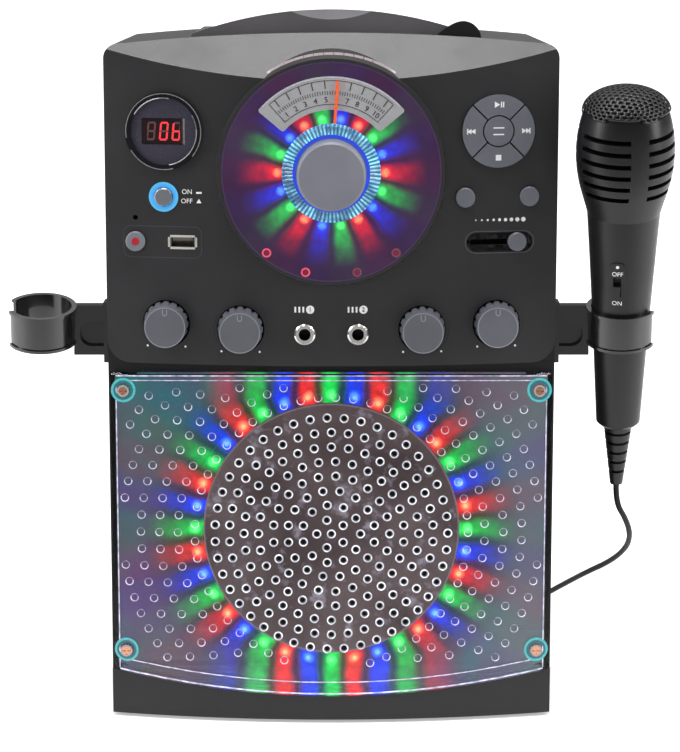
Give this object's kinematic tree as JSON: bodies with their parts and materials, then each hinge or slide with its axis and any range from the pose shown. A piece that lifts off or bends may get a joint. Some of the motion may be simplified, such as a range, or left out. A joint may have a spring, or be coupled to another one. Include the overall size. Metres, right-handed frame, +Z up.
{
  "type": "karaoke machine with disc tray",
  "caption": "Upright karaoke machine with a top-loading disc well under an arched lid, round lit dial, front keys and knobs, lit speaker and a wired microphone in a side holder.",
  "frame": {"origin": "middle of the housing on the surface it stands on", "axes": "+Z up, -Y out of the control panel, +X to the right seen from the front"},
  "size_m": [0.3668, 0.2911, 0.3997],
  "materials": {
    "housing_dark": "satin, fine grain",
    "foot_rubber": "matt",
    "deck_plastic": "satin",
    "panel_plastic": "satin",
    "lid_plastic": "satin",
    "black_plastic": "satin",
    "smoked_window": "polished, translucent",
    "scale_plate": "satin",
    "needle_red": "gloss",
    "circuit_board": "lacquered",
    "knob_grey": "satin",
    "clear_ring": "clear, ribbed",
    "bezel_silver": "satin silver",
    "lamp_lens": "clear, tinted",
    "clear_cover": "clear, polished",
    "copper_screw": "polished",
    "reflector": "semi-reflective",
    "speaker_cloth": "fine woven cover on a plastic frame",
    "speaker_steel": "pressed steel",
    "paper_cone": "pressed paper",
    "bright_metal": "plated",
    "key_grey": "satin",
    "drive_metal": "satin",
    "drive_plastic": "natural",
    "holder_plastic": "satin",
    "mic_black": "satin",
    "mic_mesh": "black lacquered mesh",
    "cord_black": "matt"
  },
  "bodies": {
    "housing": {"base_plate": "housing_dark", "control_board": "circuit_board", "control_panel": "panel_plastic", "dial_led_board": "circuit_board", "dial_scale": "scale_plate", "disc_tray": "black_plastic", "display_bezel": "bezel_silver", "display_module": "black_plastic", "drive_motors": "drive_metal", "drive_plate": "drive_metal", "front_frame": "housing_dark", "grille_cover": "clear_cover", "guide_rods": "drive_metal", "indicator_lenses": "lamp_lens", "led_ring_board": "circuit_board", "left_mic_holder": "holder_plastic", "main_board": "circuit_board", "mic_cord": "cord_black", "mic_cord_coil": "cord_black", "mic_jacks": "bright_metal", "mic_plug": "black_plastic", "rear_jacks": "black_plastic", "rear_shell": "housing_dark", "right_mic_holder": "holder_plastic", "rubber_feet": "foot_rubber", "screws": "copper_screw", "speaker_baffle": "reflector", "speaker_cloth": "speaker_cloth", "speaker_cone": "paper_cone", "speaker_frame": "speaker_steel", "top_deck": "deck_plastic", "usb_socket": "bright_metal", "window_lens": "smoked_window"},
    "lid": {"disc_lid": "lid_plastic", "disc_clamp": "black_plastic"},
    "spindle": {"disc_spindle": "drive_plastic"},
    "sled": {"pickup_sled": "drive_plastic"},
    "stepped_gear": {"sled_gear": "drive_plastic"},
    "pinion": {"motor_pinion": "drive_plastic"},
    "volume": {"volume_knob": "knob_grey", "light_ring": "clear_ring", "volume_needle": "needle_red"},
    "microphone": {"mic_body": "mic_black", "mic_grille": "mic_mesh"},
    "microphone_switch": {"mic_switch": "black_plastic"},
    "lid_tab": {"lid_release": "black_plastic"},
    "light_slide": {"light_slider": "key_grey"},
    "voice_control": {"voice_knob": "knob_grey"},
    "balance_control": {"balance_knob": "knob_grey"},
    "echo_control": {"echo_knob": "knob_grey"},
    "mic_volume_control": {"mic_volume_knob": "knob_grey"},
    "next_key": {"next_key": "key_grey"},
    "play_key": {"play_key": "key_grey"},
    "previous_key": {"previous_key": "key_grey"},
    "stop_key": {"stop_key": "key_grey"},
    "middle_key": {"middle_key": "key_grey"},
    "power_button": {"power_button": "key_grey"},
    "source_button": {"source_button": "key_grey"},
    "repeat_button": {"repeat_button": "key_grey"},
    "record_button": {"record_button": "key_grey"}
  },
  "joints": [
    {"name": "lid_hinge", "type": "hinge", "parent": "housing", "child": "lid", "pos_m": [0, 0.064, 0.378], "axis": [-1, 0, 0], "range_deg": [0, 70]},
    {"name": "spindle_spin", "type": "hinge", "parent": "housing", "child": "spindle", "pos_m": [0, -0.008, 0.373], "axis": [0, 0, 1], "continuous": true},
    {"name": "sled_slide", "type": "slide", "parent": "housing", "child": "sled", "axis": [1, 0, 0], "range_m": [0, 0.031]},
    {"name": "stepped_gear_turn", "type": "hinge", "parent": "housing", "child": "stepped_gear", "pos_m": [0.045, 0.025, 0.349], "axis": [0, 0, 1], "range_deg": [-0.5, 356.23]},
    {"name": "pinion_turn", "type": "hinge", "parent": "housing", "child": "pinion", "pos_m": [0.065, 0.025, 0.348], "axis": [0, 0, 1], "range_deg": [-1067.7, 1]},
    {"name": "volume_turn", "type": "hinge", "parent": "housing", "child": "volume", "pos_m": [0, -0.12, 0.3135], "axis": [0, 1, 0], "range_deg": [-54, 46]},
    {"name": "microphone_lift", "type": "slide", "parent": "housing", "child": "microphone", "axis": [-0.0192, -0.2419, 0.9701], "range_m": [0, 0.125]},
    {"name": "microphone_switch_slide", "type": "slide", "parent": "microphone", "child": "microphone_switch", "axis": [-0.0192, -0.2419, 0.9701], "range_m": [0, 0.004]},
    {"name": "lid_tab_press", "type": "slide", "parent": "housing", "child": "lid_tab", "axis": [0, 0, -1], "range_m": [0, 0.0025], "stiffness_N_per_m": 300, "springref_m": -0.001},
    {"name": "light_slide_move", "type": "slide", "parent": "housing", "child": "light_slide", "axis": [0.9844, 0.1758, 0], "range_m": [-0.02285, 0.00325]},
    {"name": "voice_turn", "type": "hinge", "parent": "housing", "child": "voice_control", "pos_m": [-0.0916, -0.1, 0.2286], "axis": [0, 1, 0], "range_deg": [-150, 150]},
    {"name": "balance_turn", "type": "hinge", "parent": "housing", "child": "balance_control", "pos_m": [-0.0503, -0.1, 0.2264], "axis": [0, 1, 0], "range_deg": [-150, 150]},
    {"name": "echo_turn", "type": "hinge", "parent": "housing", "child": "echo_control", "pos_m": [0.0503, -0.1, 0.2264], "axis": [0, 1, 0], "range_deg": [-150, 150]},
    {"name": "mic_volume_turn", "type": "hinge", "parent": "housing", "child": "mic_volume_control", "pos_m": [0.0916, -0.1, 0.2286], "axis": [0, 1, 0], "range_deg": [-150, 150]},
    {"name": "next_key_press", "type": "slide", "parent": "housing", "child": "next_key", "axis": [0, 1, 0], "range_m": [0, 0.001], "stiffness_N_per_m": 300, "springref_m": -0.001},
    {"name": "play_key_press", "type": "slide", "parent": "housing", "child": "play_key", "axis": [0, 1, 0], "range_m": [0, 0.001], "stiffness_N_per_m": 300, "springref_m": -0.001},
    {"name": "previous_key_press", "type": "slide", "parent": "housing", "child": "previous_key", "axis": [0, 1, 0], "range_m": [0, 0.001], "stiffness_N_per_m": 300, "springref_m": -0.001},
    {"name": "stop_key_press", "type": "slide", "parent": "housing", "child": "stop_key", "axis": [0, 1, 0], "range_m": [0, 0.001], "stiffness_N_per_m": 300, "springref_m": -0.001},
    {"name": "middle_key_press", "type": "slide", "parent": "housing", "child": "middle_key", "axis": [0, 1, 0], "range_m": [0, 0.001], "stiffness_N_per_m": 300, "springref_m": -0.001},
    {"name": "power_button_press", "type": "slide", "parent": "housing", "child": "power_button", "axis": [0, 1, 0], "range_m": [0, 0.001], "stiffness_N_per_m": 300, "springref_m": -0.001},
    {"name": "source_button_press", "type": "slide", "parent": "housing", "child": "source_button", "axis": [0, 1, 0], "range_m": [0, 0.001], "stiffness_N_per_m": 300, "springref_m": -0.001},
    {"name": "repeat_button_press", "type": "slide", "parent": "housing", "child": "repeat_button", "axis": [0, 1, 0], "range_m": [0, 0.001], "stiffness_N_per_m": 300, "springref_m": -0.001},
    {"name": "record_button_press", "type": "slide", "parent": "housing", "child": "record_button", "axis": [0, 1, 0], "range_m": [0, 0.001], "stiffness_N_per_m": 300, "springref_m": -0.001}
  ],
  "couplings": [
    {"joint": "stepped_gear_turn", "follows": "sled_slide", "rad_per_m": 200},
    {"joint": "pinion_turn", "follows": "sled_slide", "rad_per_m": -600}
  ]
}
